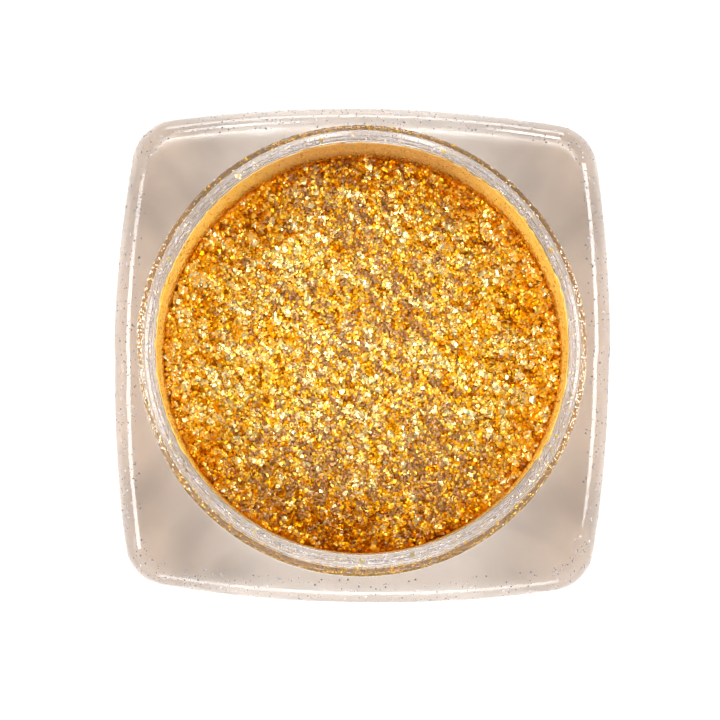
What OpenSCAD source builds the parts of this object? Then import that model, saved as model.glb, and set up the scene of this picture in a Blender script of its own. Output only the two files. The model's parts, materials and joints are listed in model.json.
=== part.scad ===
// Open square sample jar with a round screw neck, filled with gold flake.
// Millimetres. The origin is the middle of the underside, and +Z points up out of the mouth.

/* [Jar] */
// Width of the jar between the middles of two opposite bulged sides
body_w = 32; // [31:0.5:40]
// Bulge radius of each side, seen from above
side_r = 86; // [60:1:150]
// Radius of the four upright corners
corner_r = 3; // [2.5:0.1:4]
// Height of the shoulder, where the neck starts
shoulder_z = 10.5; // [9.5:0.1:14]
// Radius of the rounded edge between the walls and the shoulder
shoulder_edge_r = 1.5; // [0.8:0.1:1.5]
// Height of the widest part of the walls
widest_z = 8; // [6:0.1:8]
// How much narrower the walls are near the foot than at the widest part, on each side
wall_draft = 0.25; // [0.1:0.05:0.3]
// Size of the bevel under the walls
foot_bevel = 0.2; // [0.1:0.05:0.2]

/* [Foot] */
// Height of the flat foot that the jar stands on
foot_h = 0.25; // [0.2:0.05:0.5]
// How far the foot is set in from the widest part of the walls
foot_inset = 0.6; // [0.55:0.05:1.5]

/* [Neck] */
// Height of the neck above the shoulder
neck_h = 4.5; // [4.5:0.1:6]
// Outer radius of the neck tube
neck_r = 13.6; // [13.4:0.05:13.7]
// Radius of the mouth
mouth_r = 12.8; // [12:0.05:12.85]
// Depth of the straight wall inside the mouth
mouth_wall_h = 5.1; // [4:0.1:5.2]
// Width of the small bevels on the two edges of the rim
rim_bevel = 0.12; // [0.05:0.01:0.2]
// Outer radius of the collar at the foot of the neck
collar_r = 14.2; // [14.1:0.05:14.4]
// Height of the collar
collar_h = 1.1; // [0.8:0.1:1.1]

/* [Thread] */
// Radius of the thread's crest
crest_r = 14.05; // [13.9:0.05:14.05]
// Rise of the thread in one turn
thread_pitch = 2; // [1.5:0.1:2]
// Number of turns
thread_turns = 1.1; // [0.6:0.1:1.1]
// Angle at which the thread starts, anticlockwise from +X
thread_start = 167; // [0:1:359]
// Height of the thread's ridge where it meets the neck
thread_root_w = 0.9; // [0.6:0.05:0.9]
// Height of the flat crest of the ridge
thread_crest_w = 0.35; // [0.2:0.05:0.4]

/* [Well] */
// Depth of the well below the rim
well_depth = 12.2; // [11:0.1:12.5]
// How much narrower the well is above its floor than at the mouth, on each side
well_draft = 0.25; // [0.1:0.05:0.4]
// Radius where the well's wall turns into its floor
well_floor_r = 3.5; // [1:0.1:3.5]

/* [Gold] */
// Depth of the gold's surface below the rim
fill_below_rim = 5.6; // [5.6:0.1:7]
// Air gap between the gold and the plastic, and under each loose flake
air_gap = 0.02; // [0.02:0.01:0.04]
// Number of pale flakes lying on the fill
pale_count = 40; // [10:1:50]
// Number of orange flakes lying on the fill
orange_count = 24; // [5:1:30]
// Number of flakes lying on the rim
rim_count = 11; // [0:1:16]
// Number of flakes lying on the collar
collar_count = 9; // [0:1:12]
// Thickness of a flake
flake_t = 0.05; // [0.04:0.01:0.06]

/* [Hidden] */

$fn = 96;
half_w = body_w / 2;
rim_z = shoulder_z + neck_h;
collar_top_z = shoulder_z + collar_h;
mouth_wall_z = rim_z - rim_bevel - mouth_wall_h;
well_bend_z = rim_z - well_depth + well_floor_r;
gold_top_z = rim_z - fill_below_rim;
overlap = 1;            // how far joined pieces of plastic run into each other
slice_h = 0.01;         // height of one slice of the walls
side_steps = 12;        // straight runs along one bulged side
corner_steps = 8;       // straight runs round one corner
edge_steps = 5;         // slices over the rounded shoulder edge
thread_steps = 40;      // straight runs in one turn of the thread
thread_fade = 30;       // degrees over which each end of the thread rises out of the neck
golden_angle = 137.508; // turn from one flake to the next, which spreads them evenly
flake_sides = 6;
max_tilt = 9;           // steepest lie of a flake on the fill
surface_sizes = [0.55, 1.0];
ledge_sizes = [0.28, 0.42];

// ---- Jar body ----

// Distance from the middle to the centre of a side's bulge, and to a corner's centre in X and Y
side_centre = side_r - half_w;
corner_centre = (sqrt(2 * pow(side_r - corner_r, 2) - pow(side_centre, 2)) - side_centre) / 2;

// Angle at which a side runs smoothly into a corner, seen from either one's centre
blend_angle = atan2(corner_centre, corner_centre + side_centre);

function turned(points, angle) = [
    for (p = points) [p[0] * cos(angle) - p[1] * sin(angle), p[0] * sin(angle) + p[1] * cos(angle)]
];

function side_points(inset) = [
    for (i = [0 : side_steps - 1])
        let (angle = blend_angle * (2 * i / side_steps - 1), r = side_r - inset)
        [r * cos(angle) - side_centre, r * sin(angle)]
];

function corner_points(inset) = [
    for (i = [0 : corner_steps - 1])
        let (angle = blend_angle + (90 - 2 * blend_angle) * i / corner_steps, r = corner_r - inset)
        [corner_centre + r * cos(angle), corner_centre + r * sin(angle)]
];

// The jar's bulged square seen from above, smaller by the inset all round
module outline(inset) {
    polygon([
        for (angle = [0 : 90 : 270])
            each turned(concat(side_points(inset), corner_points(inset)), angle)
    ]);
}

module slice(z, inset) {
    translate([0, 0, z]) linear_extrude(slice_h) outline(inset);
}

// Walls that lean out from the foot to the widest part, and a rounded edge up to the shoulder
module walls() {
    edge_z = shoulder_z - shoulder_edge_r;
    hull() {
        slice(foot_h, wall_draft + foot_bevel);
        slice(foot_h + foot_bevel, wall_draft);
        slice(widest_z, 0);
        for (i = [0 : edge_steps]) {
            angle = 90 * i / edge_steps;
            slice(edge_z + shoulder_edge_r * sin(angle) - slice_h, shoulder_edge_r * (1 - cos(angle)));
        }
    }
}

module foot() {
    linear_extrude(foot_h + overlap) outline(foot_inset);
}

module neck() {
    translate([0, 0, shoulder_z - overlap]) cylinder(r = collar_r, h = collar_h + overlap);
    rotate_extrude()
        polygon([
            [0, shoulder_z], [neck_r, shoulder_z],
            [neck_r, rim_z - rim_bevel], [neck_r - rim_bevel, rim_z], [0, rim_z]
        ]);
}

// A ridge that climbs round the neck. Each ring is the ridge's cross-section, sunk a little into the neck.
module thread() {
    steps = round(thread_steps * thread_turns);
    step_angle = 360 * thread_turns / steps;
    first_z = collar_top_z + thread_root_w / 2 + 0.05;
    sunk_r = neck_r - 0.4;
    points = [
        for (i = [0 : steps])
            let (
                angle = i * step_angle,
                ends = min(1, angle / thread_fade, (360 * thread_turns - angle) / thread_fade),
                r = neck_r - 0.1 + (crest_r - neck_r + 0.1) * ends,
                z = first_z + thread_pitch * angle / 360
            )
            for (p = [[sunk_r, -thread_root_w / 2], [r, -thread_crest_w / 2],
                      [r, thread_crest_w / 2], [sunk_r, thread_root_w / 2]])
                [p[0] * cos(thread_start + angle), p[0] * sin(thread_start + angle), z + p[1]]
    ];
    sides = [
        for (i = [0 : steps - 1], k = [0 : 3])
            let (a = 4 * i + k, b = 4 * i + (k + 1) % 4)
            each [[a, b, b + 4], [a, b + 4, a + 4]]
    ];
    ends = [[3, 2, 1, 0], [4 * steps, 4 * steps + 1, 4 * steps + 2, 4 * steps + 3]];
    polyhedron(points, concat(sides, ends));
}

// Radius of the well at a height: straight inside the mouth, and then drawn in down to its floor's bend
function well_r(z) = mouth_r - well_draft * max(0, mouth_wall_z - z) / (mouth_wall_z - well_bend_z);

// The hollow from top_z down to the well's rounded floor, smaller by the gap all round
module well(gap, top_z) {
    bend_r = well_floor_r - gap;
    bend_centre = well_r(well_bend_z) - well_floor_r;
    straight = top_z > mouth_wall_z ? [[mouth_r - gap, mouth_wall_z]] : [];
    rotate_extrude()
        union() {
            polygon([
                [0, well_bend_z - bend_r], [bend_centre, well_bend_z - bend_r],
                [bend_centre + bend_r, well_bend_z], each straight, [well_r(top_z) - gap, top_z], [0, top_z]
            ]);
            intersection() {
                translate([bend_centre, well_bend_z]) circle(r = bend_r);
                translate([bend_centre, well_bend_z - bend_r]) square([bend_r, bend_r]);
            }
        }
}

// Bevel on the rim's inner edge, cut with a cone that runs on above the rim
module mouth_bevel() {
    translate([0, 0, rim_z - rim_bevel])
        cylinder(r1 = mouth_r, r2 = mouth_r + 2 * rim_bevel, h = 2 * rim_bevel);
}

module jar_body() {
    color([0.85, 0.8, 0.78, 0.4])
        difference() {
            union() {
                walls();
                foot();
                neck();
                thread();
            }
            well(0, rim_z - rim_bevel);
            mouth_bevel();
        }
}

// ---- Gold ----

module gold_bed() {
    color("goldenrod") well(air_gap, gold_top_z);
}

module flake(size) {
    cylinder(r = size / 2, h = flake_t, $fn = flake_sides);
}

// Loose flakes lying on the fill at slight tilts. They are spread evenly by the golden angle, and
// of every group of places along that spiral, one kind takes the places that its slots name.
module lying_flakes(count, slots, seed) {
    group = pale_count + orange_count;
    turns = rands(0, 360, count, seed);
    tilts = rands(0, max_tilt, count, seed + 1);
    sizes = rands(surface_sizes[0], surface_sizes[1], count, seed + 2);
    reach = mouth_r - surface_sizes[1];
    for (i = [0 : count - 1]) {
        place = slots[i];
        lift = air_gap + sizes[i] / 2 * sin(tilts[i]);
        rotate(place * golden_angle)
            translate([reach * sqrt((place + 0.5) / group), 0, gold_top_z + lift])
                rotate([0, tilts[i], turns[i]]) flake(sizes[i]);
    }
}

// Every third or so place along the spiral is orange, and the rest are pale
places = [for (i = [0 : pale_count + orange_count - 1]) i];
orange_places = [for (i = [0 : orange_count - 1]) floor(i * (pale_count + orange_count) / orange_count)];
pale_places = [for (i = places) if (len(search(i, orange_places)) == 0) i];

module pale_flakes() {
    color("khaki") lying_flakes(pale_count, pale_places, 11);
}

module orange_flakes() {
    color("darkorange") lying_flakes(orange_count, orange_places, 23);
}

// Small flakes lying flat on a ring-shaped ledge, at uneven distances
module ledge_flakes(count, r, z, seed) {
    shifts = rands(-0.4, 0.4, count, seed);
    sizes = rands(ledge_sizes[0], ledge_sizes[1], count, seed + 1);
    turns = rands(0, 60, count, seed + 2);
    for (i = [0 : 1 : count - 1])
        rotate((i + shifts[i]) * 360 / count)
            translate([r, 0, z + air_gap]) rotate(turns[i]) flake(sizes[i]);
}

module rim_flakes() {
    color("khaki") ledge_flakes(rim_count, (mouth_r + neck_r) / 2, rim_z, 31);
}

module collar_flakes() {
    color("khaki") ledge_flakes(collar_count, (neck_r + collar_r) / 2, collar_top_z, 47);
}

jar_body();
gold_bed();
pale_flakes();
orange_flakes();
rim_flakes();
collar_flakes();
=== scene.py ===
"""Looks of an open square sample jar of gold flake, seen almost straight from above.

The jar is one smooth moulding in clear plastic. The gold is a packed fill under thousands of small flakes.
A thin film of gold is on the wall above it, and fine dust is on the rim, thread, collar and shoulder.
Lengths are in millimetres until mesh_piece() or MM turns them into the frame's metres. Lights are placed
in metres.
"""

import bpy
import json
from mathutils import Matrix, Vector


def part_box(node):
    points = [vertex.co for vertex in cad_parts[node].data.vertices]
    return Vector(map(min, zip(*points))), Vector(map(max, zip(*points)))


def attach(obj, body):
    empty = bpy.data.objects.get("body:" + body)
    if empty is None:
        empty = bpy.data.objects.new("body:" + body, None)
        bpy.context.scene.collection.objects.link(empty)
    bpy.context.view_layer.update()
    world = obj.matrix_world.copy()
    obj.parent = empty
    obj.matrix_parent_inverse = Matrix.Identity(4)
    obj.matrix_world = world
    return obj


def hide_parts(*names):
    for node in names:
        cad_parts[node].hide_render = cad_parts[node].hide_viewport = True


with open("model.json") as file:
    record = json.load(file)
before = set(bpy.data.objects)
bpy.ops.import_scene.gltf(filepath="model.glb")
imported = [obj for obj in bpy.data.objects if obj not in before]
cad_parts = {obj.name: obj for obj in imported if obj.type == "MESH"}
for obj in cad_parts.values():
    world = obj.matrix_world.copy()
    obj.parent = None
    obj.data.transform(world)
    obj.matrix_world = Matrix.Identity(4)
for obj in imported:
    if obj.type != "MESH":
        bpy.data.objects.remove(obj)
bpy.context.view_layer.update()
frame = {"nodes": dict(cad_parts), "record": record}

import json
import math

import bmesh
import bpy
import numpy as np
from mathutils import Matrix, Vector

MM = 0.001
FULL_TURN = 2 * math.pi
QUARTER_TURN = math.pi / 2
UP = np.array([0.0, 0.0, 1.0])
RNG = np.random.default_rng(7)

# ---- Sizes that the frame states ----

MOUNTS = {m["name"]: m for m in frame["record"]["mounts"]}
jar_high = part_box("jar_body")[1]
gold_low, gold_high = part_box("gold_bed")
HALF_W = jar_high[0] / MM
RIM_Z = jar_high[2] / MM
GOLD_Z = gold_high[2] / MM
GOLD_FLOOR_Z = gold_low[2] / MM
MOUTH_R = MOUNTS["mouth"]["dims"]["r_mm"]
MOUTH_WALL_H = MOUNTS["mouth"]["dims"]["length_mm"]
COLLAR_R = MOUNTS["neck_collar"]["dims"]["r_mm"]
COLLAR_H = MOUNTS["neck_collar"]["dims"]["length_mm"]

# ---- Other sizes of the jar, as in the CAD model ----

SIDE_R = 86.0
CORNER_R = 3.0
WALL_DRAFT = 0.25
WIDEST_Z = 8.0
WALL_LEAN_POWER = 1.5
SHOULDER_Z = 10.5
SHOULDER_EDGE_R = 1.5
NECK_R = 13.6
CREST_R = 14.05
THREAD_START = math.radians(167)
THREAD_LENGTH = FULL_TURN * 1.1
THREAD_PITCH = 2.0
THREAD_ROOT_W = 0.9
THREAD_CREST_W = 0.35
THREAD_FADE = math.radians(30)
THREAD_GAP = 0.05
WELL_DEPTH = 12.2
WELL_DRAFT = 0.25
WELL_FLOOR_R = 3.5

COLLAR_Z = SHOULDER_Z + COLLAR_H
THREAD_FIRST_Z = COLLAR_Z + THREAD_ROOT_W / 2 + THREAD_GAP
BEND_Z = RIM_Z - WELL_DEPTH + WELL_FLOOR_R
BEND_R = MOUTH_R - WELL_DRAFT

# ---- Finer shapes, which only this model has ----

FOOT_EDGE_R = 0.45
FOOT_MARGIN = 0.5
UNDERSIDE_R = 9
CAP_R = 4
BED_CAP_R = 2
SMALL_EDGE_R = 0.12
RIM_EDGE_R = 0.22
INNER_EDGE_R = 0.12
RIM_CROWN = 0.05
RIM_GROOVE = 0.06
RIM_GROOVE_SHARE = 0.14
SEAM_STEP = 0.08
SEAM_W = 0.12
RIM_BEND_Z = RIM_Z - RIM_CROWN - INNER_EDGE_R

BED_GAP = 0.03
BED_DROP = 0.35
BED_TOP_GAP = 0.04
GRAINS = 38000
GRAIN_DROP = 0.25
GRAIN_MARGIN = 0.12
BED_SWELLS = [(7.0, 0.12), (2.2, 0.06)]

FILM_BURIED = 0.3
FILM_SHORT = 0.12
FILM_RAGGED = 0.04
FILM_FRONT_DROP = 0.5
FILM_GAP = 0.015
FILM_THICK = 0.02

# A flake has a few corners at uneven angles and distances, a raised middle and a shallow underside. The
# lengths are shares of its size.
FLAKE_SIDES = 5
FLAKE_UNEVEN = 0.35
FLAKE_REACH = (0.7, 1.25)
FLAKE_RISE = (0.02, 0.12)
FLAKE_UNDER = 0.08
CRUMPLE = 0.07
FLAT_CRUMPLE = 0.03
LOOSE_FLAKE_SIDES = 9
WALL_TILT = 0.25
DUST_TILT = 0.15
FLAKE_LIFT = 0.01
DUST_LIFT = 0.015
LEDGE_MARGIN = 0.2
GLITTER_MARGIN = 0.1
RIM_DUST_DROP = 0.03
EDGE_BAND_FROM, EDGE_BAND_TO = 0.22, 0.04
LOW_FLAKES_H = 1.3
DARK_FLECKS_GAP = 0.3
FLECKS_GAP = 0.2

# Share of a CAD flake's size at which it is drawn, and a further share for those lying on the fill
CAD_FLAKE_SHARE = 0.8
LYING_FLAKE_SHARE = 0.45
RIM_FLAKE_DROP = 0.045
LOWEST_DUST = math.radians(18)

# ---- Fineness of the meshes ----

SIDE_STEPS = 72
CORNER_STEPS = 30
EDGE_STEPS = 8
WALL_STEPS = 8
SHOULDER_EDGE_STEPS = 14
SHOULDER_STEPS = 6
SMALL_EDGE_STEPS = 4
NECK_STEPS = 54
RIM_EDGE_STEPS = 6
RIM_STEPS = 14
DRAFT_STEPS = 6
BEND_STEPS = 12
BED_SIDE_STEPS = 4
BED_TOP_STEPS = 40
FILM_STEPS = 18
FILM_CROWDING = 0.6

# Points of a CAD mesh that are closer than this, in metres, are one point
SAME_PLACE = 0.001 * MM

# ---- Colours ----

# Gold colours from brown to cream: partly the flakes' own tones, partly painted shade and light for flakes
# turned from or towards the lamps and for light bounced between them
DARK_BROWN = (0.14, 0.055, 0.006)
BROWN = (0.27, 0.09, 0.008)
OLIVE = (0.30, 0.20, 0.045)
TAN = (0.42, 0.205, 0.075)
BEIGE = (0.60, 0.36, 0.17)
EMBER = (0.42, 0.10, 0.001)
DEEP_ORANGE = (0.70, 0.23, 0.003)
ORANGE = (0.95, 0.43, 0.006)
AMBER = (0.97, 0.52, 0.025)
YELLOW = (0.97, 0.63, 0.12)
PALE = (1.0, 0.79, 0.38)
CREAM = (1.0, 0.92, 0.78)
DARK_GREY = (0.12, 0.12, 0.15)
MID_GREY = (0.35, 0.34, 0.38)
LILAC_GREY = (0.60, 0.57, 0.64)
WHITE_GREY = (0.9, 0.88, 0.85)
# Film colours: the film's own gold, with painted shade in the brown and painted light in the bright and pale
FILM_SHADED_BROWN = (0.28, 0.11, 0.012)
FILM_AMBER = (0.57, 0.31, 0.08)
FILM_LIT_BRIGHT = (1.0, 0.62, 0.09)
FILM_LIT_PALE = (1.0, 0.7, 0.17)
TINT_NECK = (0.85, 0.81, 0.75)
# Painted shade and light in the clear plastic: warm at the sides and corners for the gold's shadow and warm
# bounced light seen through it, paler at the front and back
SHADED_WARM_TINT = (0.99, 0.876, 0.782)
LIT_PALE_TINT = (1.0, 0.945, 0.895)
TINT_BACK = 0.965
PLASTIC_IOR = 1.58

# ---- Patterns: depths of bumps, and the painted shade clouds and painted light-and-shade streaks in the jar's corners ----

WAVE_DEPTH = 0.05
GRAIN_DEPTH = 0.005
CRUMPLE_DEPTH = 0.01
CELL_SIZE = 0.22
CELL_DEPTH = 0.03
# Painted shade: a soft dark cloud round each of the plastic's corners
SHADE_CLOUD_AT = 13.2
SHADE_CLOUD_REACH = 11
SHADE_CLOUD_DARK = 0.9
WOBBLE = 4.0
WOBBLE_SIZE = 2.5
# Painted light and shade: streaks along the corners' diagonals
STREAK_SIZE = 1.0
PAINTED_STREAK_DARK = 0.87
STREAK_FADE = (4, 10)
# Span of X over which the plastic's painted shade turns it from pale to warm
PAINTED_SHADE_SPAN = (7, 14)
# Span of X over which the film turns from painted shade at the front and back to painted light at the sides
FILM_LIT_SIDE_SPAN = (5, 11)

# How fast the painted light-and-shade streaks change with X, Y and Z: slowly along a corner's diagonal, fast
# across it
ALONG_DIAGONAL = (0.12, 0.12, 0)
ACROSS_DIAGONAL = (0.32, -0.32, 0)
SLOW_DRIFT = (0.05, 0.03, 0)

# Middle and radius of the fill's duller, brighter and deep orange patches
DULL_PATCHES = [(-5.5, -9.0, 3.0), (5.5, -6.5, 3.2), (1.0, 3.0, 2.5)]
BRIGHT_PATCHES = [(-4.5, 7.5, 3.0), (-0.5, -1.5, 3.5), (-9.5, -2.5, 2.5), (4.0, 9.0, 2.5)]
DEEP_PATCHES = [(-10.4, -6.5, 1.7), (-1.5, -11.6, 2.2), (-7.6, 9.4, 1.7), (5.0, 11.0, 1.6), (10.4, 3.0, 1.4)]

# ---- Light and camera, in metres and watts ----

FLOOR_SIZE = 2.0
FLOOR_GAP = 0.05 * MM
FLOOR_GLOW = 0.15
TENT_LOW, TENT_HIGH = 0.5, 0.95
TENT_BRIGHT, TENT_DARK = 1.6, 0.39
TENT_SKEW = 0.5
JAR_AIM = (0, 0, 0.01)
RIGHT_AIM = (0, 0.02, 0.01)
LEFT_POWER = 1.1
RIGHT_POWER = 0.8 * LEFT_POWER
STRIP_X, STRIP_Z = 0.33, 0.35
RIGHT_STRIP_Y = 0.05
LEFT_STRIP_SIZE, RIGHT_STRIP_SIZE = (0.22, 0.15), (0.17, 0.15)
FRONT_POWER, BACK_POWER = 0.6, 0.65
PANEL_Y, PANEL_Z = 0.4, 0.12
PANEL_SIZE = (0.3, 0.1)
LAMP_POWER = 0.22
LAMP_XS, LAMP_Y, LAMP_Z = (-0.055, 0.08), 0.33, 0.35
LAMP_SIZE = (0.04, 0.1)
CAMERA_DISTANCE = 152 * MM
CAMERA_ELEVATION = math.radians(85.7)
CAMERA_ROLL = math.radians(0.8)
VIEW_CENTRE = Vector((-0.13, -0.29, 8)) * MM
VIEW_WIDTH = 46.7 * MM
SENSOR_WIDTH = 36


# ---- Helpers ----

def mesh_piece(name, points, faces, material, smooth=True):
    """A mesh object from points in millimetres."""
    mesh = bpy.data.meshes.new(name)
    mesh.from_pydata((np.asarray(points) * MM).tolist(), [], faces)
    mesh.polygons.foreach_set("use_smooth", [smooth] * len(mesh.polygons))
    mesh.materials.append(material)
    mesh.update()
    piece = bpy.data.objects.new(name, mesh)
    bpy.context.scene.collection.objects.link(piece)
    return piece


def smoothstep(x):
    """A smooth rise from 0 at 0 to 1 at 1."""
    x = np.clip(x, 0, 1)
    return x * x * (3 - 2 * x)


def beyond(value, start, run):
    """0 up to the start, and a smooth rise over the run to 1."""
    return smoothstep((value - start) / run)


def unit(vectors):
    """The vectors, each at length 1."""
    return vectors / np.linalg.norm(vectors, axis=1, keepdims=True)


def edge_angles(steps, first=0):
    """Angles from 0 to a right angle in even steps, from the one numbered first."""
    return [QUARTER_TURN * i / steps for i in range(first, steps + 1)]


def radial(angle):
    """Level unit vectors that point outwards at the angles."""
    return np.column_stack([np.cos(angle), np.sin(angle), np.zeros(len(angle))])


def random_field(size, waves=14):
    """A smooth random function of x and y, in swells about size millimetres long, mean 0 and spread 1."""
    turns = RNG.uniform(0, FULL_TURN, waves)
    speeds = FULL_TURN / size * RNG.uniform(0.6, 1.5, waves)
    phases = RNG.uniform(0, FULL_TURN, waves)

    def value(x, y):
        along = x[..., None] * np.cos(turns) + y[..., None] * np.sin(turns)
        return np.sin(speeds * along + phases).sum(-1) * math.sqrt(2 / waves)

    return value


# ---- Jar ----

def outline(inset):
    """The jar's bulged square seen from above, smaller by inset, as points round from the +X side."""
    side_centre = SIDE_R - HALF_W
    corner_centre = (math.sqrt(2 * (SIDE_R - CORNER_R) ** 2 - side_centre ** 2) - side_centre) / 2
    blend_angle = math.atan2(corner_centre, corner_centre + side_centre)
    side = np.linspace(-blend_angle, blend_angle, SIDE_STEPS, endpoint=False)
    corner = np.linspace(blend_angle, QUARTER_TURN - blend_angle, CORNER_STEPS, endpoint=False)
    quarter = np.concatenate([
        np.stack([(SIDE_R - inset) * np.cos(side) - side_centre, (SIDE_R - inset) * np.sin(side)], 1),
        corner_centre + (CORNER_R - inset) * np.stack([np.cos(corner), np.sin(corner)], 1),
    ])
    quarters = []
    for turn in range(4):
        c, s = math.cos(turn * QUARTER_TURN), math.sin(turn * QUARTER_TURN)
        quarters.append(quarter @ np.array([[c, s], [-s, c]]))
    return np.concatenate(quarters)


# Every ring has its points at these angles, so that rings join one to one
RING_ANGLES = np.arctan2(*outline(SHOULDER_EDGE_R).T[::-1])


def seamed(flat):
    """Points seen from above, with the -Y half a hair smaller, for a mould seam on the -X and +X sides."""
    return flat * (1 - SEAM_STEP / HALF_W * smoothstep((SEAM_W - flat[:, 1:2]) / (2 * SEAM_W)))


def square_ring(inset, z):
    """The outline at height z."""
    flat = seamed(outline(inset))
    return np.column_stack([flat, np.full(len(flat), z)])


def round_ring(radius, z):
    """A ring whose radius and height are numbers or one value for each angle."""
    return np.column_stack([
        radius * np.cos(RING_ANGLES), radius * np.sin(RING_ANGLES), np.broadcast_to(z, len(RING_ANGLES))])


def ridge(along, off):
    """How far the thread stands out of the neck, at an angle along its helix and a height off its middle."""
    flank = (THREAD_ROOT_W / 2 - np.abs(off)) / (THREAD_ROOT_W / 2 - THREAD_CREST_W / 2)
    ends = smoothstep(along / THREAD_FADE) * smoothstep((THREAD_LENGTH - along) / THREAD_FADE)
    return smoothstep(flank) * ends * (CREST_R - NECK_R)


def thread_height(z):
    """How far the thread stands out of the neck at height z, for each angle of a ring."""
    height = np.zeros(len(RING_ANGLES))
    for turn in range(2):
        along = (RING_ANGLES - THREAD_START) % FULL_TURN + FULL_TURN * turn
        off = z - THREAD_FIRST_Z - THREAD_PITCH * along / FULL_TURN
        height = np.maximum(height, ridge(along, off))
    return height


def wall_rings():
    """The flat underside, the rounded foot, the bulged walls and the rounded shoulder edge."""
    foot_inset = WALL_DRAFT + FOOT_EDGE_R
    rings = [round_ring(CAP_R, 0), round_ring(UNDERSIDE_R, 0), square_ring(foot_inset + FOOT_MARGIN, 0)]
    for angle in edge_angles(EDGE_STEPS):
        rings.append(square_ring(
            foot_inset - FOOT_EDGE_R * math.sin(angle), FOOT_EDGE_R * (1 - math.cos(angle))))
    for i in range(1, WALL_STEPS + 1):
        up = i / WALL_STEPS
        rings.append(square_ring(
            WALL_DRAFT * (1 - up) ** WALL_LEAN_POWER, FOOT_EDGE_R + (WIDEST_Z - FOOT_EDGE_R) * up))
    edge_z = SHOULDER_Z - SHOULDER_EDGE_R
    for angle in edge_angles(SHOULDER_EDGE_STEPS):
        rings.append(square_ring(
            SHOULDER_EDGE_R * (1 - math.cos(angle)), edge_z + SHOULDER_EDGE_R * math.sin(angle)))
    return rings


def shoulder_rings(outer):
    """Level rings that turn the square outer ring into the round foot of the collar."""
    rings = [outer]
    inner = round_ring(COLLAR_R + SMALL_EDGE_R, SHOULDER_Z)
    for left in range(SHOULDER_STEPS, 0, -1):
        rings.append(rings[-1] + (inner - rings[-1]) * (1 / left))
    return rings[1:]


def neck_rings():
    """The collar and the neck with its thread, as far as the rim's outer edge."""
    rings = []
    for angle in edge_angles(SMALL_EDGE_STEPS, 1):
        rings.append(round_ring(
            COLLAR_R + SMALL_EDGE_R * (1 - math.sin(angle)),
            SHOULDER_Z + SMALL_EDGE_R * (1 - math.cos(angle))))
    for angle in edge_angles(SMALL_EDGE_STEPS):
        rings.append(round_ring(
            COLLAR_R - SMALL_EDGE_R * (1 - math.cos(angle)),
            COLLAR_Z - SMALL_EDGE_R * (1 - math.sin(angle))))
    for angle in edge_angles(SMALL_EDGE_STEPS):
        rings.append(round_ring(
            NECK_R + SMALL_EDGE_R * (1 - math.sin(angle)),
            COLLAR_Z + SMALL_EDGE_R * (1 - math.cos(angle))))
    first, last = COLLAR_Z + SMALL_EDGE_R, RIM_Z - RIM_CROWN - RIM_EDGE_R
    for i in range(1, NECK_STEPS):
        z = first + (last - first) * i / NECK_STEPS
        rings.append(round_ring(NECK_R + thread_height(z), z))
    return rings


def rim_rings():
    """The rim: a rounded outer edge, a crowned top with a shallow groove, and a sharper inner edge."""
    rings = []
    for angle in edge_angles(RIM_EDGE_STEPS):
        rings.append(round_ring(
            NECK_R - RIM_EDGE_R * (1 - math.cos(angle)),
            RIM_Z - RIM_CROWN - RIM_EDGE_R * (1 - math.sin(angle))))
    outer, inner = NECK_R - RIM_EDGE_R, MOUTH_R + INNER_EDGE_R
    for i in range(1, RIM_STEPS):
        across = i / RIM_STEPS
        groove = RIM_GROOVE * smoothstep(1 - abs(across - 0.5) / RIM_GROOVE_SHARE)
        crown = RIM_CROWN * (2 * across - 1) ** 2 + groove
        rings.append(round_ring(outer + (inner - outer) * across, RIM_Z - crown))
    for angle in edge_angles(RIM_EDGE_STEPS):
        rings.append(round_ring(
            MOUTH_R + INNER_EDGE_R * (1 - math.sin(angle)),
            RIM_Z - RIM_CROWN - INNER_EDGE_R * (1 - math.cos(angle))))
    return rings


def well_rings():
    """The well: a straight wall inside the mouth, a slight draft below it, and a rounded floor."""
    rings = []
    wall_low = RIM_BEND_Z - MOUTH_WALL_H
    for i in range(1, WALL_STEPS + 1):
        rings.append(round_ring(MOUTH_R, RIM_BEND_Z + (wall_low - RIM_BEND_Z) * i / WALL_STEPS))
    for i in range(1, DRAFT_STEPS + 1):
        rings.append(round_ring(
            MOUTH_R - WELL_DRAFT * i / DRAFT_STEPS, wall_low + (BEND_Z - wall_low) * i / DRAFT_STEPS))
    for angle in edge_angles(BEND_STEPS, 1):
        rings.append(round_ring(
            BEND_R - WELL_FLOOR_R * (1 - math.cos(angle)), BEND_Z - WELL_FLOOR_R * math.sin(angle)))
    rings.append(round_ring(CAP_R, RIM_Z - WELL_DEPTH))
    return rings


def jar_rings():
    """The jar's whole skin as one run of rings, from the middle of the underside to the well's floor."""
    walls = wall_rings()
    return walls + shoulder_rings(walls[-1]) + neck_rings() + rim_rings() + well_rings()


def loft(rings):
    """Points and faces of a closed skin over rings, with a flat cap on the first and the last."""
    count = len(rings[0])
    points = np.concatenate(rings)
    faces = []
    for row in range(len(rings) - 1):
        low = row * count
        for i in range(count):
            j = (i + 1) % count
            faces.append((low + i, low + j, low + count + j, low + count + i))
    faces.append(tuple(range(count - 1, -1, -1)))
    faces.append(tuple(len(points) - count + i for i in range(count)))
    return points, faces


# ---- Shader nodes ----

def new_material(name):
    """A new material, its nodes and links, its shader, and the socket for a place on the object."""
    material = bpy.data.materials.new(name)
    material.use_nodes = True
    nodes, links = material.node_tree.nodes, material.node_tree.links
    place = nodes.new("ShaderNodeTexCoord").outputs["Object"]
    return material, nodes, links, nodes["Principled BSDF"], place


def noise(nodes, links, place, size, detail=2.0, output="Fac"):
    """Noise in swells of size millimetres."""
    texture = nodes.new("ShaderNodeTexNoise")
    texture.inputs["Scale"].default_value = 1 / (size * MM)
    texture.inputs["Detail"].default_value = detail
    links.new(place, texture.inputs["Vector"])
    return texture.outputs[output]


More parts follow.
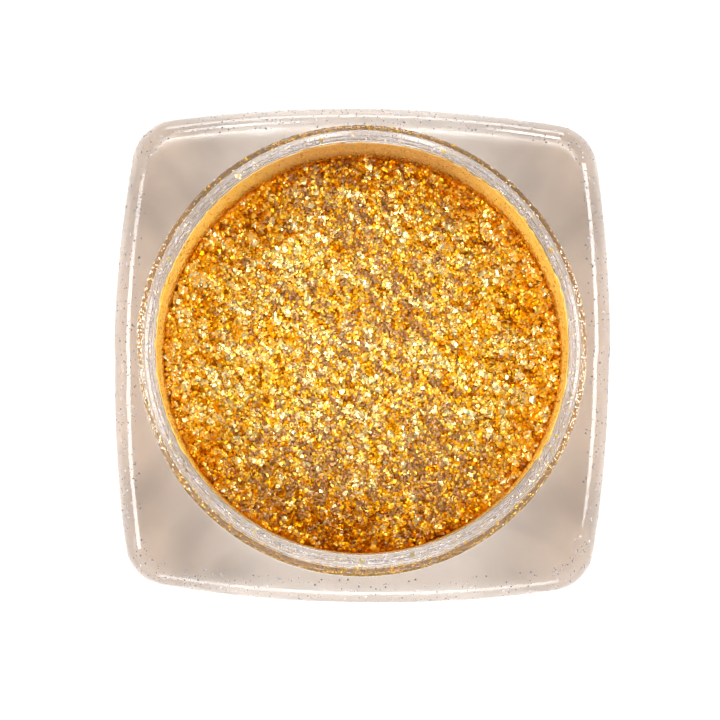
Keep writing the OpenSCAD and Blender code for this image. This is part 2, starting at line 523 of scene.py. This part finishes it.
def ramp(nodes, links, value, stops):
    """Colours or grey levels along a value. Stops are pairs of a position and a colour or a level."""
    node = nodes.new("ShaderNodeValToRGB")
    elements = node.color_ramp.elements
    while len(elements) < len(stops):
        elements.new(0.5)
    for element, (position, colour) in zip(elements, stops):
        element.position = position
        element.color = (*colour, 1) if isinstance(colour, tuple) else (colour, colour, colour, 1)
    links.new(value, node.inputs["Fac"])
    return node.outputs["Color"]


def bump(nodes, links, shader, height, depth, before=None):
    """Adds a height pattern to the shader's normal, over any bump before it. Depth is in millimetres."""
    node = nodes.new("ShaderNodeBump")
    node.inputs["Strength"].default_value = 1.0
    node.inputs["Distance"].default_value = depth * MM
    links.new(height, node.inputs["Height"])
    if before is not None:
        links.new(before, node.inputs["Normal"])
    links.new(node.outputs["Normal"], shader.inputs["Normal"])
    return node.outputs["Normal"]


def vector_math(nodes, links, operation, first, second):
    """A vector operation. The second part is another socket or a fixed vector."""
    node = nodes.new("ShaderNodeVectorMath")
    node.operation = operation
    links.new(first, node.inputs[0])
    if isinstance(second, tuple):
        node.inputs[1].default_value = second
    else:
        links.new(second, node.inputs[1])
    return node.outputs["Value"] if operation in ("DISTANCE", "DOT_PRODUCT") else node.outputs["Vector"]


def along_axis(nodes, links, place, axis):
    """How far a place is along an axis, in metres."""
    return vector_math(nodes, links, "DOT_PRODUCT", place, axis)


def folded(nodes, links, place, back):
    """The place with some of its X, Y and Z made positive: those for which back has -1."""
    turned = vector_math(nodes, links, "MULTIPLY", place, back)
    return vector_math(nodes, links, "MAXIMUM", place, turned)


def spread_over(nodes, links, value, low, high):
    """The value as 0 at low and 1 at high, both in millimetres."""
    node = nodes.new("ShaderNodeMapRange")
    node.inputs["From Min"].default_value = low * MM
    node.inputs["From Max"].default_value = high * MM
    links.new(value, node.inputs["Value"])
    return node.outputs["Result"]


def colour_mix(nodes, links, first, second, share=None):
    """The two colours multiplied or, with a share, blended from the first at 0 to the second at 1."""
    node = nodes.new("ShaderNodeMix")
    node.data_type = "RGBA"
    links.new(first, node.inputs["A"])
    if isinstance(second, tuple):
        node.inputs["B"].default_value = second
    else:
        links.new(second, node.inputs["B"])
    if share is None:
        node.blend_type = "MULTIPLY"
        node.inputs["Factor"].default_value = 1.0
    else:
        links.new(share, node.inputs["Factor"])
    return node.outputs["Result"]


def flake_colours(nodes, links, colours):
    """A colour for each separate flake, anywhere along the list."""
    island = nodes.new("ShaderNodeNewGeometry")
    last = len(colours) - 1
    stops = [(i / last, colour) for i, colour in enumerate(colours)]
    return ramp(nodes, links, island.outputs["Random Per Island"], stops)


def patchy_roughness(nodes, links, shader, place, size, low, high):
    """Roughness that drifts between low and high, in swells of size millimetres."""
    level = ramp(nodes, links, noise(nodes, links, place, size), [(0.3, low), (0.7, high)])
    links.new(level, shader.inputs["Roughness"])


# ---- Materials ----

def painted_corner_streaks(nodes, links, place, flat):
    """Painted light and shade: soft light and dark streaks that run along the jar's diagonals, as a grey
    level.
    """
    join = nodes.new("ShaderNodeCombineXYZ")
    for socket, source, direction in [
        ("X", flat, ALONG_DIAGONAL), ("Y", flat, ACROSS_DIAGONAL), ("Z", place, SLOW_DRIFT),
    ]:
        links.new(along_axis(nodes, links, source, direction), join.inputs[socket])
    pattern = noise(nodes, links, join.outputs["Vector"], STREAK_SIZE, 1.5)
    return ramp(nodes, links, pattern, [(0.36, PAINTED_STREAK_DARK), (0.58, 1.0)])


def wobbled(nodes, links, place, flat):
    """The flat place shifted about at random, so that what is drawn by it has no clean outline."""
    colour = noise(nodes, links, place, WOBBLE_SIZE, 2.0, "Color")
    centred = vector_math(nodes, links, "SUBTRACT", colour, (0.5, 0.5, 0))
    shifts = vector_math(nodes, links, "MULTIPLY", centred, (WOBBLE * MM, WOBBLE * MM, 0))
    return vector_math(nodes, links, "ADD", flat, shifts)


def plastic_tint_and_painted_shade(nodes, links, place):
    """The plastic's colour: painted shade and light, warm at the sides and cloudy and streaked in the
    corners; darker in the neck and at the back.
    """
    flat = vector_math(nodes, links, "MULTIPLY", folded(nodes, links, place, (-1, -1, 0)), (1, 1, 0))
    shifted = wobbled(nodes, links, place, flat)
    off_corner = vector_math(nodes, links, "DISTANCE", shifted, (SHADE_CLOUD_AT * MM, SHADE_CLOUD_AT * MM, 0))
    # Painted shade: a soft dark cloud round each corner
    shade_cloud = ramp(nodes, links, spread_over(nodes, links, off_corner, 0, SHADE_CLOUD_REACH),
                 [(0.0, 0.99), (0.1, 0.97), (0.22, SHADE_CLOUD_DARK), (0.36, SHADE_CLOUD_DARK), (0.7, 1.0)])
    sideways = along_axis(nodes, links, shifted, (1, 0, 0))
    # Painted shade: warm towards the sides and corners, paler at the front and back
    painted_side_shade = ramp(nodes, links, spread_over(nodes, links, sideways, *PAINTED_SHADE_SPAN),
                [(0.0, LIT_PALE_TINT), (1.0, SHADED_WARM_TINT)])
    # Painted light and shade: streaks in the corners, fading towards the middle
    painted_streaks = colour_mix(nodes, links, painted_corner_streaks(nodes, links, place, flat), (1, 1, 1, 1),
                         spread_over(nodes, links, off_corner, *STREAK_FADE))
    height = along_axis(nodes, links, place, (0, 0, 1))
    neck = ramp(nodes, links, spread_over(nodes, links, height, SHOULDER_Z + 0.5, COLLAR_Z),
                [(0.0, 1.0), (1.0, TINT_NECK)])
    rearward = along_axis(nodes, links, place, (0, 1, 0))
    drift = ramp(nodes, links, spread_over(nodes, links, rearward, -HALF_W, HALF_W),
                 [(0.0, 1.0), (0.85, TINT_BACK), (0.97, 1.0)])
    tint = painted_side_shade
    for level in (shade_cloud, painted_streaks, neck, drift):
        tint = colour_mix(nodes, links, tint, level)
    return tint


def clear_plastic():
    """Clear polystyrene with painted shade and light in its colour, warm and cloudy in places, with slightly
    wavy faces and faint smudges.
    """
    material, nodes, links, shader, place = new_material("clear_plastic")
    links.new(plastic_tint_and_painted_shade(nodes, links, place), shader.inputs["Base Color"])
    smudges = ramp(nodes, links, noise(nodes, links, place, 2.5, 6.0), [(0.4, 0.08), (0.7, 0.2)])
    links.new(smudges, shader.inputs["Roughness"])
    waves = bump(nodes, links, shader, noise(nodes, links, place, 4.0, 1.0), WAVE_DEPTH)
    bump(nodes, links, shader, noise(nodes, links, place, 0.5), GRAIN_DEPTH, waves)
    shader.inputs["Transmission Weight"].default_value = 1.0
    shader.inputs["IOR"].default_value = PLASTIC_IOR
    return material


def film_gold():
    """Fine gold smeared on the well's wall, with painted light bright at the sides and painted shade browner
    low down at the front and back.
    """
    material, nodes, links, shader, place = new_material("film_gold")
    shader.inputs["Metallic"].default_value = 0.35
    split = nodes.new("ShaderNodeSeparateXYZ")
    links.new(folded(nodes, links, place, (-1, -1, -1)), split.inputs[0])
    up = spread_over(nodes, links, split.outputs["Z"], GOLD_Z, RIM_Z)
    # Painted shade: browner low down, near the fill
    ends = ramp(nodes, links, up, [(0.0, FILM_SHADED_BROWN), (0.5, FILM_AMBER), (1.0, FILM_AMBER)])
    sides = ramp(nodes, links, noise(nodes, links, place, 0.7, 3.0), [(0.35, FILM_LIT_BRIGHT), (0.7, FILM_LIT_PALE)])
    # Painted light: brighter and paler towards the sides
    film = colour_mix(nodes, links, ends, sides,
                      spread_over(nodes, links, split.outputs["X"], *FILM_LIT_SIDE_SPAN))
    grain = ramp(nodes, links, noise(nodes, links, place, 0.12, 3.0), [(0.3, 0.8), (0.6, 1.0)])
    links.new(colour_mix(nodes, links, film, grain), shader.inputs["Base Color"])
    patchy_roughness(nodes, links, shader, place, 0.5, 0.5, 0.7)
    bump(nodes, links, shader, noise(nodes, links, place, 0.1), CRUMPLE_DEPTH)
    return material


def gold(name, colours, roughness, metallic=1.0):
    """Metal flake. Each flake takes one colour along the ramp, and is crumpled and dulled in places."""
    material, nodes, links, shader, place = new_material(name)
    shader.inputs["Metallic"].default_value = metallic
    shade = ramp(nodes, links, noise(nodes, links, place, 0.15), [(0.3, 0.87), (0.7, 1.0)])
    each = colour_mix(nodes, links, flake_colours(nodes, links, colours), shade)
    links.new(each, shader.inputs["Base Color"])
    patchy_roughness(nodes, links, shader, place, 0.4, *roughness)
    bump(nodes, links, shader, noise(nodes, links, place, 0.08), CRUMPLE_DEPTH)
    return material


def packed_gold():
    """The fill's own body: pressed flakes as small tilted cells, from deep orange to pale."""
    material, nodes, links, shader, place = new_material("packed_gold")
    shader.inputs["Metallic"].default_value = 1.0
    cells = nodes.new("ShaderNodeTexVoronoi")
    cells.inputs["Scale"].default_value = 1 / (CELL_SIZE * MM)
    links.new(place, cells.inputs["Vector"])
    split = nodes.new("ShaderNodeSeparateColor")
    links.new(cells.outputs["Color"], split.inputs["Color"])
    # Cell colours from deep orange to pale: partly the flakes' own tones, partly painted shade and light
    stops = [(0.0, DEEP_ORANGE), (0.3, ORANGE), (0.65, AMBER), (1.0, PALE)]
    links.new(ramp(nodes, links, split.outputs["Red"], stops), shader.inputs["Base Color"])
    dullness = ramp(nodes, links, split.outputs["Green"], [(0.0, 0.3), (1.0, 0.6)])
    links.new(dullness, shader.inputs["Roughness"])
    bump(nodes, links, shader, split.outputs["Blue"], CELL_DEPTH)
    return material


def dust(name, colours, roughness, metallic):
    """Small grey and silvery specks."""
    material, nodes, links, shader, place = new_material(name)
    shader.inputs["Metallic"].default_value = metallic
    links.new(flake_colours(nodes, links, colours), shader.inputs["Base Color"])
    patchy_roughness(nodes, links, shader, place, 0.3, *roughness)
    return material


# ---- Flakes ----

def flakes(centres, normals, sizes, sides, crumple):
    """Points and faces of thin ragged plates. Each is closed: a ring, a raised middle and an underside."""
    count = len(centres)
    spin = np.linspace(0, FULL_TURN, sides, endpoint=False)
    uneven = RNG.uniform(-FLAKE_UNEVEN, FLAKE_UNEVEN, (count, sides))
    spin = spin + uneven * FLAKE_SIDES / sides + RNG.uniform(0, FULL_TURN, (count, 1))
    reach = sizes[:, None] / 2 * RNG.uniform(*FLAKE_REACH, (count, sides))
    wave = sizes[:, None] * RNG.uniform(-crumple, crumple, (count, sides))
    middle = sizes * RNG.uniform(*FLAKE_RISE, count)
    ring = np.stack([reach * np.cos(spin), reach * np.sin(spin), wave], 2)
    top = np.stack([np.zeros(count), np.zeros(count), middle], 1)[:, None]
    under = np.stack([np.zeros(count), np.zeros(count), -sizes * FLAKE_UNDER], 1)[:, None]
    local = np.concatenate([ring, top, under], 1)
    steep = np.abs(normals[:, 2:3]) > 0.9
    helper = np.where(steep, [[1.0, 0.0, 0.0]], [[0.0, 0.0, 1.0]])
    across = unit(np.cross(helper, normals))
    along = np.cross(normals, across)
    points = (centres[:, None] + local[..., 0:1] * across[:, None] + local[..., 1:2] * along[:, None]
              + local[..., 2:3] * normals[:, None])
    step = sides + 2
    pattern = [(i, (i + 1) % sides, sides) for i in range(sides)]
    pattern += [((i + 1) % sides, i, sides + 1) for i in range(sides)]
    faces = (np.array(pattern)[None] + np.arange(count)[:, None, None] * step).reshape(-1, 3)
    return points.reshape(-1, 3), faces.tolist()


def flake_piece(name, centres, normals, sizes, material, sides=FLAKE_SIDES, crumple=CRUMPLE):
    """One visible piece of many flakes, all in one material."""
    points, faces = flakes(centres, unit(normals), sizes, sides, crumple)
    piece = mesh_piece(name, points, faces, material, smooth=False)
    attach(piece, "root")
    return piece


def tilted(normals, spread):
    """The normals, each turned a random amount."""
    return unit(unit(normals) + RNG.normal(0, spread, normals.shape))


def level_normals(count, spread):
    """Normals that point up, each turned a random amount."""
    return tilted(np.tile(UP, (count, 1)), spread)


def cad_flakes(node):
    """Middle, normal and size of each loose flake of a CAD node, which is a thin plate.

    The node's mesh has separate points for each face, so points in one place are joined first.
    """
    mesh = bmesh.new()
    mesh.from_mesh(frame["nodes"][node].data)
    bmesh.ops.remove_doubles(mesh, verts=mesh.verts, dist=SAME_PLACE)
    seen = set()
    centres, normals, sizes = [], [], []
    for start in mesh.verts:
        if start in seen:
            continue
        seen.add(start)
        island, queue = [], [start]
        while queue:
            vertex = queue.pop()
            island.append(vertex.co / MM)
            for edge in vertex.link_edges:
                other = edge.other_vert(vertex)
                if other not in seen:
                    seen.add(other)
                    queue.append(other)
        points = np.array(island)
        middle = points.mean(0)
        normal = np.linalg.svd(points - middle)[2][2]
        centres.append(middle)
        normals.append(normal * np.sign(normal[2]))
        sizes.append(2 * np.linalg.norm(points - middle, axis=1).max())
    mesh.free()
    order = np.lexsort(np.round(np.array(centres), 4).T)
    return np.array(centres)[order], np.array(normals)[order], np.array(sizes)[order]


def loose_flakes(node, material):
    """Ragged flakes where a CAD node has its plates. They are smaller, because the real ones are."""
    centres, normals, sizes = cad_flakes(node)
    if node in ("pale_flakes", "orange_flakes"):
        sizes = sizes * LYING_FLAKE_SHARE
    if node == "rim_flakes":
        centres[:, 2] -= RIM_FLAKE_DROP
    piece = flake_piece("loose_" + node, centres, normals, sizes * CAD_FLAKE_SHARE, material,
                        sides=LOOSE_FLAKE_SIDES, crumple=FLAT_CRUMPLE)
    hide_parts(node)


# ---- Gold in the well ----

swells = [(random_field(size), height) for size, height in BED_SWELLS]


def bed_height(x, y):
    """Height of the fill's uneven surface above or below its mean level."""
    return sum(field(x, y) * height for field, height in swells)


def gold_bed(material):
    """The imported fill: a round block that follows the well, with an uneven top."""
    low_r = BEND_R - BED_GAP
    top_r = MOUTH_R - BED_GAP - BED_TOP_GAP
    top_z = GOLD_Z - BED_DROP
    rings = [round_ring(BED_CAP_R, GOLD_FLOOR_Z)]
    for angle in reversed(edge_angles(BEND_STEPS)):
        rings.append(round_ring(
            low_r - WELL_FLOOR_R * (1 - math.cos(angle)),
            BEND_Z - (BEND_Z - GOLD_FLOOR_Z) * math.sin(angle)))
    for i in range(1, BED_SIDE_STEPS + 1):
        rings.append(round_ring(
            low_r + (top_r - low_r) * i / BED_SIDE_STEPS, BEND_Z + (top_z - BEND_Z) * i / BED_SIDE_STEPS))
    for i in range(1, BED_TOP_STEPS):
        radius = top_r * (1 - i / BED_TOP_STEPS)
        x, y = radius * np.cos(RING_ANGLES), radius * np.sin(RING_ANGLES)
        rings.append(round_ring(radius, top_z + bed_height(x, y)))
    points, faces = loft(rings)
    return mesh_piece("gold_fill", points, faces, material)


def patches_at(x, y, patches):
    """How strongly each place belongs to any of the patches: 1 in a patch's middle, 0 far off."""
    return sum(np.exp(-((x - at_x) ** 2 + (y - at_y) ** 2) / radius ** 2) for at_x, at_y, radius in patches)


def bed_grains(count):
    """Where each grain lies on the fill, if it is dull, and its rank from 0, dark, to 1, pale.

    Dullness and tone add up chance, with a spread of 1, smooth swells, the named patches, and painted light
    and
    shade: fewer dull grains and brighter tones towards the sides, duller and darker towards the front but
    fewer dull ones right at the front edge, and darker at the back edge.
    """
    radius = (MOUTH_R - GRAIN_MARGIN) * np.sqrt(RNG.uniform(0, 1, count))
    angle = RNG.uniform(0, FULL_TURN, count)
    x, y = radius * np.cos(angle), radius * np.sin(angle)
    sideways, rearward = x / MOUTH_R, y / MOUTH_R
    drab, bright = patches_at(x, y, DULL_PATCHES), patches_at(x, y, BRIGHT_PATCHES)
    deep = patches_at(x, y, DEEP_PATCHES)
    patches, clumps = random_field(6.0), random_field(1.3)
    dullness = RNG.normal(0, 1, count) + 0.3 * patches(x, y) + 0.7 * clumps(x, y) + 0.8 * drab - 0.8 * deep
    # Painted shade: duller towards the front, less so at the very front edge
    dullness = dullness + 0.45 * beyond(-rearward, 0.15, 0.4) - 0.9 * beyond(-rearward, 0.75, 0.2)
    # Painted light: fewer dull grains towards the sides
    is_dull = dullness > 0.8 + 2.2 * sideways ** 2
    clumps, knots, specks = random_field(3.2), random_field(1.6), random_field(0.75)
    tone = RNG.normal(0, 1, count) + 0.7 * clumps(x, y) + 1.0 * knots(x, y) + 1.4 * specks(x, y)
    # Painted light and shade: brighter towards the sides, darker towards the front and at the back edge
    tone = tone + 0.75 * sideways ** 2 - 2.8 * beyond(-rearward, 0.55, 0.45)
    tone = tone - 1.6 * beyond(rearward, 0.8, 0.2) + 0.8 * bright - 0.6 * drab - 2.4 * deep
    return x, y, is_dull, tone.argsort().argsort() / count


def grain_piece(name, x, y, sizes, lift, spread, tilt, material):
    """Grains on the fill's uneven surface, raised by the lift and by up to the spread more or less."""
    count = len(x)
    level = GOLD_Z - GRAIN_DROP + bed_height(x, y) + lift + RNG.uniform(-spread, spread, count)
    normals = level_normals(count, tilt)
    flake_piece(name, np.column_stack([x, y, level]), normals, RNG.uniform(*sizes, count), material)


def wall_film(material):
    """A thin skin of gold on the well's wall, from inside the fill to a ragged edge at the rim."""
    low = GOLD_Z - BED_DROP - FILM_BURIED
    x, y = MOUTH_R * np.cos(RING_ANGLES), MOUTH_R * np.sin(RING_ANGLES)
    short = FILM_SHORT + FILM_RAGGED * (random_field(5.0)(x, y) + random_field(1.2)(x, y))
    short = short + FILM_FRONT_DROP * beyond(-y / MOUTH_R, 0.45, 0.35)
    length = RIM_BEND_Z - low + INNER_EDGE_R * QUARTER_TURN - short
    upwards, downwards = range(FILM_STEPS + 1), range(FILM_STEPS, -1, -1)
    skin = []
    for offset, order in [(FILM_GAP + FILM_THICK, upwards), (FILM_GAP, downwards)]:
        for i in order:
            along = length * (i / FILM_STEPS) ** FILM_CROWDING
            turn = np.clip((along - (RIM_BEND_Z - low)) / INNER_EDGE_R, 0, QUARTER_TURN)
            out = MOUTH_R + INNER_EDGE_R * (1 - np.cos(turn)) - offset * np.cos(turn)
            up = np.minimum(low + along, RIM_BEND_Z) + (INNER_EDGE_R + offset) * np.sin(turn)
            skin.append(round_ring(out, up))
    count = len(RING_ANGLES)
    faces = []
    for row in range(len(skin)):
        after = (row + 1) % len(skin)
        for i in range(count):
            j = (i + 1) % count
            faces.append((row * count + i, after * count + i, after * count + j, row * count + j))
    return mesh_piece("wall_film", np.concatenate(skin), faces, material)


def wall_flakes(name, count, top_z, gather, sizes, material):
    """Flakes lying on the film. The higher gather is, the closer they keep to the fill."""
    angle = RNG.uniform(0, FULL_TURN, count)
    low = GOLD_Z - BED_DROP
    height = low + (top_z - low) * RNG.uniform(0, 1, count) ** gather
    outward = radial(angle)
    reach = MOUTH_R - FILM_GAP - FILM_THICK - FLAKE_LIFT
    flake_piece(name, outward * reach + np.outer(height, UP), tilted(-outward, WALL_TILT),
                RNG.uniform(*sizes, count), material, crumple=FLAT_CRUMPLE)


# ---- Dust on the outside ----

def ring_dust(name, count, low_r, high_r, z, sizes, material, at_ends_only=0.0):
    """Specks lying on a ring-shaped ledge. With at_ends_only near 1 they keep to its +Y and -Y parts."""
    angle = RNG.uniform(0, FULL_TURN, count)
    kept = RNG.uniform(0, 1, count) > at_ends_only * np.cos(angle) ** 2
    angle = angle[kept]
    count = len(angle)
    reach = RNG.uniform(low_r, high_r, count)
    centres = np.column_stack([reach * np.cos(angle), reach * np.sin(angle), np.full(count, z + DUST_LIFT)])
    flake_piece(name, centres, level_normals(count, DUST_TILT), RNG.uniform(*sizes, count), material)


def at_ends(angle):
    """Most at the front and the back."""
    return 0.1 + 0.9 * np.sin(angle) ** 4


def at_sides(angle):
    """Only round about the two sides."""
    return np.cos(angle) ** 6


def low_sides(angle):
    """Only between the sides and the front."""
    return np.exp(-((np.abs(np.cos(angle)) - 0.75) / 0.2) ** 2) * (np.sin(angle) < 0.2)


def thread_dust(name, count, sizes, material, share):
    """Flakes caught on the thread's upper flank. The share, 0 to 1, depends on the angle round the neck."""
    along = RNG.uniform(0, THREAD_LENGTH, count)
    angle = along + THREAD_START
    kept = RNG.uniform(0, 1, count) < share(angle)
    along, angle = along[kept], angle[kept]
    count = len(angle)
    off = RNG.uniform(0, THREAD_ROOT_W / 2, count)
    step = 0.01
    out = ridge(along, off)
    slope = (ridge(along, off + step) - out) / step
    z = THREAD_FIRST_Z + THREAD_PITCH * along / FULL_TURN + off
    outward = radial(angle)
    normals = unit(outward + np.outer(-slope, UP))
    centres = outward * (NECK_R + out)[:, None] + np.outer(z, UP) + normals * FLAKE_LIFT
    flake_piece(name, centres, tilted(normals, DUST_TILT), RNG.uniform(*sizes, count), material)


def shoulder_dust(name, count, sizes, material):
    """Specks on the shoulder's rounded edge, spread evenly along the jar's outline."""
    flat = outline(0)
    ahead = np.roll(flat, -1, 0) - flat
    stretch = np.linalg.norm(ahead, axis=1)
    at = RNG.choice(len(flat), count, p=stretch / stretch.sum())
    outward = unit(flat - outline(1.0))[at]
    rise = RNG.uniform(LOWEST_DUST, QUARTER_TURN, count)
    inset = SHOULDER_EDGE_R * (1 - np.cos(rise))
    place = seamed(flat[at] + ahead[at] * RNG.uniform(0, 1, (count, 1)) - outward * inset[:, None])
    centres = np.column_stack([place, SHOULDER_Z - SHOULDER_EDGE_R * (1 - np.sin(rise))])
    normals = np.column_stack([outward * np.cos(rise)[:, None], np.sin(rise)])
    flake_piece(name, centres + normals * FLAKE_LIFT, normals, RNG.uniform(*sizes, count), material)


# ---- Stage, light and camera ----

def floor():
    """A plain pale floor that glows a little, so that it stays white through the plastic."""
    bpy.ops.mesh.primitive_plane_add(size=FLOOR_SIZE)
    plane = bpy.context.object
    plane.name = "floor"
    plane.location.z = -FLOOR_GAP
    material = bpy.data.materials.new("floor")
    material.use_nodes = True
    shader = material.node_tree.nodes["Principled BSDF"]
    shader.inputs["Base Color"].default_value = (0.95, 0.95, 0.95, 1)
    shader.inputs["Roughness"].default_value = 0.8
    shader.inputs["Emission Color"].default_value = (1, 1, 1, 1)
    shader.inputs["Emission Strength"].default_value = FLOOR_GLOW
    plane.data.materials.append(material)


def tent():
    """A light tent: bright round the horizon, most of all in front, and darker straight overhead."""
    world = bpy.data.worlds.new("tent")
    world.use_nodes = True
    nodes, links = world.node_tree.nodes, world.node_tree.links
    background = nodes["Background"]
    split = nodes.new("ShaderNodeSeparateXYZ")
    links.new(nodes.new("ShaderNodeTexCoord").outputs["Generated"], split.inputs[0])
    glow = ramp(nodes, links, split.outputs["Z"], [(TENT_LOW, TENT_BRIGHT), (TENT_HIGH, TENT_DARK)])
    links.new(glow, background.inputs["Color"])
    front = nodes.new("ShaderNodeMath")
    front.operation = "MULTIPLY_ADD"
    links.new(split.outputs["Y"], front.inputs[0])
    front.inputs[1].default_value = -TENT_SKEW
    front.inputs[2].default_value = 1.0
    links.new(front.outputs["Value"], background.inputs["Strength"])
    bpy.context.scene.world = world


def area_light(name, place, target, size, power):
    """A rectangular lamp that faces its target."""
    data = bpy.data.lights.new(name, "AREA")
    data.shape = "RECTANGLE"
    data.size, data.size_y = size
    data.energy = power
    light = bpy.data.objects.new(name, data)
    light.location = place
    light.rotation_euler = (Vector(target) - Vector(place)).to_track_quat("-Z", "Y").to_euler()
    bpy.context.scene.collection.objects.link(light)


def camera_above():
    """The camera, almost straight above the jar and rolled a little."""
    data = bpy.data.cameras.new("camera")
    camera = bpy.data.objects.new("camera", data)
    back = Vector((0, -math.cos(CAMERA_ELEVATION), math.sin(CAMERA_ELEVATION)))
    roll = Matrix.Rotation(CAMERA_ROLL, 3, "Z").to_quaternion()
    camera.location = VIEW_CENTRE + back * CAMERA_DISTANCE
    camera.rotation_mode = "QUATERNION"
    camera.rotation_quaternion = (-back).to_track_quat("-Z", "Y") @ roll
    data.sensor_width = SENSOR_WIDTH
    data.lens = SENSOR_WIDTH * CAMERA_DISTANCE / VIEW_WIDTH
    data.clip_start = 0.01
    bpy.context.scene.collection.objects.link(camera)
    bpy.context.scene.camera = camera


# ---- Build ----
# The calls below draw from one random generator, so their order is part of the looks.

jar_points, jar_faces = loft(jar_rings())
jar = mesh_piece("jar", jar_points, jar_faces, clear_plastic())
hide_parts("jar_body")
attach(jar, "root")

bed = gold_bed(packed_gold())
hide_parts("gold_bed")
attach(bed, "root")

# Flake materials from brown to cream: partly the flakes' own tones, partly painted shade and painted
# highlights
dull = gold("dull_gold", [TAN, TAN, BEIGE], (0.3, 0.5))
ember = gold("ember_gold", [BROWN, EMBER, DEEP_ORANGE], (0.3, 0.5))
orange = gold("orange_gold", [DEEP_ORANGE, ORANGE, AMBER], (0.3, 0.5))
yellow = gold("yellow_gold", [AMBER, YELLOW, YELLOW], (0.25, 0.45))
pale = gold("pale_gold", [YELLOW, PALE, PALE], (0.2, 0.35))
# Cream flakes: partly a painted highlight on the thread's sides
shine = gold("shine_gold", [PALE, CREAM, CREAM], (0.3, 0.45), 0.8)
# Dark olive-brown dust, partly painted shade: it darkens the collar's ring at the front and back
edge_gold_and_shade = gold("edge_gold_and_shade", [DARK_BROWN, OLIVE, OLIVE, TAN, AMBER], (0.4, 0.6), 0.7)
grey = dust("grey_dust", [DARK_GREY, DARK_GREY, MID_GREY, LILAC_GREY], (0.3, 0.6), 0.6)
silver = dust("silver_dust", [DARK_GREY, MID_GREY, LILAC_GREY, LILAC_GREY, WHITE_GREY], (0.4, 0.7), 0.2)

# Grain classes: partly the flakes' own tones, partly painted light and shade. The ember and orange ones sit
# lowest, where their deep colour stands for light bounced between flakes.
grain_x, grain_y, grain_dull, rank = bed_grains(GRAINS)
for name, lowest, highest, sizes, lift, spread, tilt, material, slot in [
    ("dull_grains", 0.0, 1.0, (0.14, 0.30), 0.02, 0.08, 0.30, dull, "pale_gold"),
    ("ember_grains", 0.0, 0.14, (0.15, 0.36), -0.06, 0.08, 0.30, ember, "orange_gold"),
    ("orange_grains", 0.14, 0.5, (0.15, 0.36), -0.04, 0.10, 0.35, orange, "orange_gold"),
    ("yellow_grains", 0.5, 0.89, (0.15, 0.34), 0.02, 0.08, 0.32, yellow, "gold_fill"),
    ("pale_grains", 0.89, 1.0, (0.16, 0.46), 0.06, 0.08, 0.28, pale, "pale_gold"),
]:
    own = (rank >= lowest) & (rank < highest) & (grain_dull == (material is dull))
    grain_piece(name, grain_x[own], grain_y[own], sizes, lift, spread, tilt, material)

film = wall_film(film_gold())
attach(film, "root")

wall_flakes("low_wall_flakes", 6500, GOLD_Z + LOW_FLAKES_H, 2.2, (0.10, 0.28), orange)
wall_flakes("dark_wall_flecks", 2500, RIM_Z - DARK_FLECKS_GAP, 1.6, (0.05, 0.14), ember)
wall_flakes("wall_flecks", 7000, RIM_Z - FLECKS_GAP, 1.3, (0.05, 0.14), yellow)

loose_flakes("pale_flakes", pale)
loose_flakes("orange_flakes", orange)
loose_flakes("rim_flakes", pale)
loose_flakes("collar_flakes", pale)

ring_dust("rim_dust", 3000, MOUTH_R + LEDGE_MARGIN, NECK_R - LEDGE_MARGIN, RIM_Z - RIM_DUST_DROP,
          (0.04, 0.11), silver)
ring_dust("rim_glitter", 200, MOUTH_R + GLITTER_MARGIN, NECK_R - GLITTER_MARGIN, RIM_Z,
          (0.06, 0.13), pale)
ring_dust("collar_glitter", 300, NECK_R + LEDGE_MARGIN, COLLAR_R - GLITTER_MARGIN, COLLAR_Z,
          (0.06, 0.15), pale)
ring_dust("collar_dust", 600, NECK_R + LEDGE_MARGIN, COLLAR_R - GLITTER_MARGIN, COLLAR_Z,
          (0.05, 0.12), grey)
# Dust kept to the front and back: partly real dust, partly painted shade on the collar's ring there
ring_dust("collar_edge_dust_and_shade", 9000, COLLAR_R - EDGE_BAND_FROM, COLLAR_R - EDGE_BAND_TO, COLLAR_Z,
          (0.07, 0.16), edge_gold_and_shade, at_ends_only=0.9)

# Dark dust on the thread, most at the front and back: partly real dust, partly painted shade
thread_dust("thread_dust", 6000, (0.08, 0.16), edge_gold_and_shade, at_ends)
# Cream flakes kept to the two sides, where the side lamps' highlight falls on the thread: partly real
# reflection, partly painted highlight
thread_dust("thread_shine", 5000, (0.05, 0.13), shine, at_sides)
thread_dust("thread_glitter", 900, (0.06, 0.16), yellow, low_sides)

shoulder_dust("shoulder_dust", 1300, (0.05, 0.15), grey)

floor()
tent()
area_light("left_strip", (-STRIP_X, 0, STRIP_Z), JAR_AIM, LEFT_STRIP_SIZE, LEFT_POWER)
area_light("right_strip", (STRIP_X, RIGHT_STRIP_Y, STRIP_Z), RIGHT_AIM, RIGHT_STRIP_SIZE, RIGHT_POWER)
area_light("front_panel", (0, -PANEL_Y, PANEL_Z), JAR_AIM, PANEL_SIZE, FRONT_POWER)
area_light("back_panel", (0, PANEL_Y, PANEL_Z), JAR_AIM, PANEL_SIZE, BACK_POWER)
for lamp_x in LAMP_XS:
    area_light("back_lamp", (lamp_x, LAMP_Y, LAMP_Z), JAR_AIM, LAMP_SIZE, LAMP_POWER)
camera_above()
bpy.context.scene.view_settings.view_transform = "Standard"
